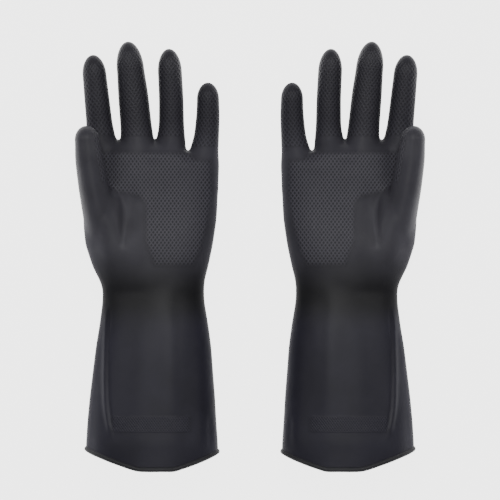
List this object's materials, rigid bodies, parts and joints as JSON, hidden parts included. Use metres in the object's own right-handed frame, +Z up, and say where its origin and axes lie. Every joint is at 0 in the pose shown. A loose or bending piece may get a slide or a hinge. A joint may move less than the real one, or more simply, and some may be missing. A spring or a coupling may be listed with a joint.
{
  "type": "electrical insulating gloves",
  "caption": "Left and right long black rubber work gloves, palm up, with diamond grip on palms and fingers and a flared gauntlet cuff with a rolled edge.",
  "frame": {"origin": "on the table, midway between the two gloves and midway along their length", "axes": "+Y towards the fingertips, +Z up out of the palms, +X towards the right-hand glove"},
  "size_m": [0.2934, 0.3601, 0.0611],
  "materials": {
    "sleeve_rubber": "satin black, softly uneven dipped skin",
    "grip_rubber": "matt black, moulded with small raised diamonds",
    "flex_rubber": "satin black, the same skin where it bends",
    "bead_rubber": "satin black rolled edge"
  },
  "bodies": {
    "left_hand": {"left_palm": "grip_rubber"},
    "left_sleeve": {"left_gauntlet": "sleeve_rubber", "left_cuff_bead": "bead_rubber", "left_wrist_flex": "flex_rubber"},
    "left_index_base": {"left_index_knuckle_flex": "flex_rubber", "left_index_lower": "grip_rubber"},
    "left_index_end": {"left_index_middle_flex": "flex_rubber", "left_index_tip": "grip_rubber"},
    "left_middle_base": {"left_middle_knuckle_flex": "flex_rubber", "left_middle_lower": "grip_rubber"},
    "left_middle_end": {"left_middle_middle_flex": "flex_rubber", "left_middle_tip": "grip_rubber"},
    "left_ring_base": {"left_ring_knuckle_flex": "flex_rubber", "left_ring_lower": "grip_rubber"},
    "left_ring_end": {"left_ring_middle_flex": "flex_rubber", "left_ring_tip": "grip_rubber"},
    "left_little_base": {"left_little_knuckle_flex": "flex_rubber", "left_little_lower": "grip_rubber"},
    "left_little_end": {"left_little_middle_flex": "flex_rubber", "left_little_tip": "grip_rubber"},
    "left_thumb_base": {"left_thumb_knuckle_flex": "flex_rubber", "left_thumb_lower": "grip_rubber"},
    "left_thumb_end": {"left_thumb_middle_flex": "flex_rubber", "left_thumb_tip": "grip_rubber"},
    "right_hand": {"right_palm": "grip_rubber"},
    "right_sleeve": {"right_gauntlet": "sleeve_rubber", "right_cuff_bead": "bead_rubber", "right_wrist_flex": "flex_rubber"},
    "right_index_base": {"right_index_knuckle_flex": "flex_rubber", "right_index_lower": "grip_rubber"},
    "right_index_end": {"right_index_middle_flex": "flex_rubber", "right_index_tip": "grip_rubber"},
    "right_middle_base": {"right_middle_knuckle_flex": "flex_rubber", "right_middle_lower": "grip_rubber"},
    "right_middle_end": {"right_middle_middle_flex": "flex_rubber", "right_middle_tip": "grip_rubber"},
    "right_ring_base": {"right_ring_knuckle_flex": "flex_rubber", "right_ring_lower": "grip_rubber"},
    "right_ring_end": {"right_ring_middle_flex": "flex_rubber", "right_ring_tip": "grip_rubber"},
    "right_little_base": {"right_little_knuckle_flex": "flex_rubber", "right_little_lower": "grip_rubber"},
    "right_little_end": {"right_little_middle_flex": "flex_rubber", "right_little_tip": "grip_rubber"},
    "right_thumb_base": {"right_thumb_knuckle_flex": "flex_rubber", "right_thumb_lower": "grip_rubber"},
    "right_thumb_end": {"right_thumb_middle_flex": "flex_rubber", "right_thumb_tip": "grip_rubber"}
  },
  "joints": [
    {"name": "left_wrist", "type": "hinge", "parent": "left_hand", "child": "left_sleeve", "pos_m": [-0.0815, -0.03, 0.02], "axis": [-1, 0, 0], "range_deg": [-15, 45], "stiffness_Nm_per_rad": 0.3, "deforming": ["left_wrist_flex"]},
    {"name": "left_index_knuckle", "type": "hinge", "parent": "left_hand", "child": "left_index_base", "pos_m": [-0.1269, 0.11, 0.0145], "axis": [0.995, 0.0995, 0], "range_deg": [-10, 60], "stiffness_Nm_per_rad": 0.05, "deforming": ["left_index_knuckle_flex"]},
    {"name": "left_index_middle", "type": "hinge", "parent": "left_index_base", "child": "left_index_end", "pos_m": [-0.1295, 0.136, 0.0165], "axis": [0.9988, 0.0484, 0], "range_deg": [0, 70], "stiffness_Nm_per_rad": 0.05, "deforming": ["left_index_middle_flex"]},
    {"name": "left_middle_knuckle", "type": "hinge", "parent": "left_hand", "child": "left_middle_base", "pos_m": [-0.0961, 0.1075, 0.015], "axis": [0.9959, 0.0909, 0], "range_deg": [-10, 60], "stiffness_Nm_per_rad": 0.05, "deforming": ["left_middle_knuckle_flex"]},
    {"name": "left_middle_middle", "type": "hinge", "parent": "left_middle_base", "child": "left_middle_end", "pos_m": [-0.0987, 0.136, 0.017], "axis": [0.9972, 0.0748, 0], "range_deg": [0, 70], "stiffness_Nm_per_rad": 0.05, "deforming": ["left_middle_middle_flex"]},
    {"name": "left_ring_knuckle", "type": "hinge", "parent": "left_hand", "child": "left_ring_base", "pos_m": [-0.0663, 0.1065, 0.0145], "axis": [1, 0.0075, 0], "range_deg": [-10, 60], "stiffness_Nm_per_rad": 0.05, "deforming": ["left_ring_knuckle_flex"]},
    {"name": "left_ring_middle", "type": "hinge", "parent": "left_ring_base", "child": "left_ring_end", "pos_m": [-0.0665, 0.133, 0.0165], "axis": [0.9991, 0.0419, 0], "range_deg": [0, 70], "stiffness_Nm_per_rad": 0.05, "deforming": ["left_ring_middle_flex"]},
    {"name": "left_little_knuckle", "type": "hinge", "parent": "left_hand", "child": "left_little_base", "pos_m": [-0.0376, 0.0985, 0.014], "axis": [0.9975, -0.0712, 0], "range_deg": [-10, 60], "stiffness_Nm_per_rad": 0.05, "deforming": ["left_little_knuckle_flex"]},
    {"name": "left_little_middle", "type": "hinge", "parent": "left_little_base", "child": "left_little_end", "pos_m": [-0.0361, 0.1195, 0.0155], "axis": [1, -0.0038, 0], "range_deg": [0, 70], "stiffness_Nm_per_rad": 0.05, "deforming": ["left_little_middle_flex"]},
    {"name": "left_thumb_knuckle", "type": "hinge", "parent": "left_hand", "child": "left_thumb_base", "pos_m": [-0.1315, 0.058, 0.0403], "axis": [0, 0, 1], "range_deg": [-10, 40], "stiffness_Nm_per_rad": 0.05, "deforming": ["left_thumb_knuckle_flex"]},
    {"name": "left_thumb_middle", "type": "hinge", "parent": "left_thumb_base", "child": "left_thumb_end", "pos_m": [-0.1352, 0.0825, 0.049], "axis": [-0.0076, 0.0731, -0.9973], "range_deg": [0, 50], "stiffness_Nm_per_rad": 0.05, "deforming": ["left_thumb_middle_flex"]},
    {"name": "right_wrist", "type": "hinge", "parent": "right_hand", "child": "right_sleeve", "pos_m": [0.0815, -0.03, 0.02], "axis": [-1, 0, 0], "range_deg": [-15, 45], "stiffness_Nm_per_rad": 0.3, "deforming": ["right_wrist_flex"]},
    {"name": "right_index_knuckle", "type": "hinge", "parent": "right_hand", "child": "right_index_base", "pos_m": [0.1269, 0.11, 0.0145], "axis": [0.995, -0.0995, 0], "range_deg": [-10, 60], "stiffness_Nm_per_rad": 0.05, "deforming": ["right_index_knuckle_flex"]},
    {"name": "right_index_middle", "type": "hinge", "parent": "right_index_base", "child": "right_index_end", "pos_m": [0.1295, 0.136, 0.0165], "axis": [0.9988, -0.0484, 0], "range_deg": [0, 70], "stiffness_Nm_per_rad": 0.05, "deforming": ["right_index_middle_flex"]},
    {"name": "right_middle_knuckle", "type": "hinge", "parent": "right_hand", "child": "right_middle_base", "pos_m": [0.0961, 0.1075, 0.015], "axis": [0.9959, -0.0909, 0], "range_deg": [-10, 60], "stiffness_Nm_per_rad": 0.05, "deforming": ["right_middle_knuckle_flex"]},
    {"name": "right_middle_middle", "type": "hinge", "parent": "right_middle_base", "child": "right_middle_end", "pos_m": [0.0987, 0.136, 0.017], "axis": [0.9972, -0.0748, 0], "range_deg": [0, 70], "stiffness_Nm_per_rad": 0.05, "deforming": ["right_middle_middle_flex"]},
    {"name": "right_ring_knuckle", "type": "hinge", "parent": "right_hand", "child": "right_ring_base", "pos_m": [0.0663, 0.1065, 0.0145], "axis": [1, -0.0075, 0], "range_deg": [-10, 60], "stiffness_Nm_per_rad": 0.05, "deforming": ["right_ring_knuckle_flex"]},
    {"name": "right_ring_middle", "type": "hinge", "parent": "right_ring_base", "child": "right_ring_end", "pos_m": [0.0665, 0.133, 0.0165], "axis": [0.9991, -0.0419, 0], "range_deg": [0, 70], "stiffness_Nm_per_rad": 0.05, "deforming": ["right_ring_middle_flex"]},
    {"name": "right_little_knuckle", "type": "hinge", "parent": "right_hand", "child": "right_little_base", "pos_m": [0.0376, 0.0985, 0.014], "axis": [0.9975, 0.0712, 0], "range_deg": [-10, 60], "stiffness_Nm_per_rad": 0.05, "deforming": ["right_little_knuckle_flex"]},
    {"name": "right_little_middle", "type": "hinge", "parent": "right_little_base", "child": "right_little_end", "pos_m": [0.0361, 0.1195, 0.0155], "axis": [1, 0.0038, 0], "range_deg": [0, 70], "stiffness_Nm_per_rad": 0.05, "deforming": ["right_little_middle_flex"]},
    {"name": "right_thumb_knuckle", "type": "hinge", "parent": "right_hand", "child": "right_thumb_base", "pos_m": [0.1315, 0.058, 0.0403], "axis": [0, 0, -1], "range_deg": [-10, 40], "stiffness_Nm_per_rad": 0.05, "deforming": ["right_thumb_knuckle_flex"]},
    {"name": "right_thumb_middle", "type": "hinge", "parent": "right_thumb_base", "child": "right_thumb_end", "pos_m": [0.1352, 0.0825, 0.049], "axis": [-0.0076, -0.0731, 0.9973], "range_deg": [0, 50], "stiffness_Nm_per_rad": 0.05, "deforming": ["right_thumb_middle_flex"]},
    {"name": "pair_spread", "type": "slide", "parent": "left_hand", "child": "right_hand", "axis": [1, 0, 0], "range_m": [0, 0.1]}
  ]
}
